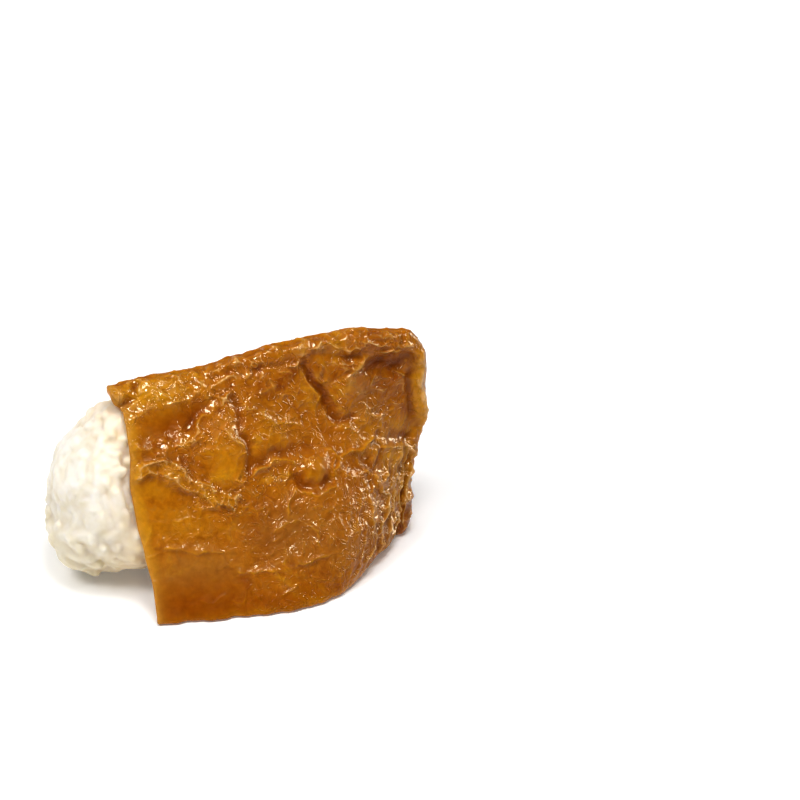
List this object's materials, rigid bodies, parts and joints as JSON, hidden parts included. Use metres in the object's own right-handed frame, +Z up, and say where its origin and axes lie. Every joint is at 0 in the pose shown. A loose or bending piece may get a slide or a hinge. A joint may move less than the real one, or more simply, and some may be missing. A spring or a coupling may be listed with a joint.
{
  "type": "inari sushi",
  "caption": "Inari sushi: a wrinkled pouch of simmered fried tofu lying on its side, stuffed with white sushi rice that bulges out of its open end",
  "frame": {"origin": "middle of the underside of the bounding box, on the surface that the pouch lies on", "axes": "+X runs along the pouch from the open end with the rice to the closed end, +Y points to the back of the pouch, +Z is up"},
  "size_m": [0.0888, 0.0504, 0.0484],
  "materials": {
    "tofu_skin": null,
    "rice": null
  },
  "bodies": {
    "root": {"tofu_pouch": "tofu_skin", "rice": "rice"}
  },
  "joints": []
}
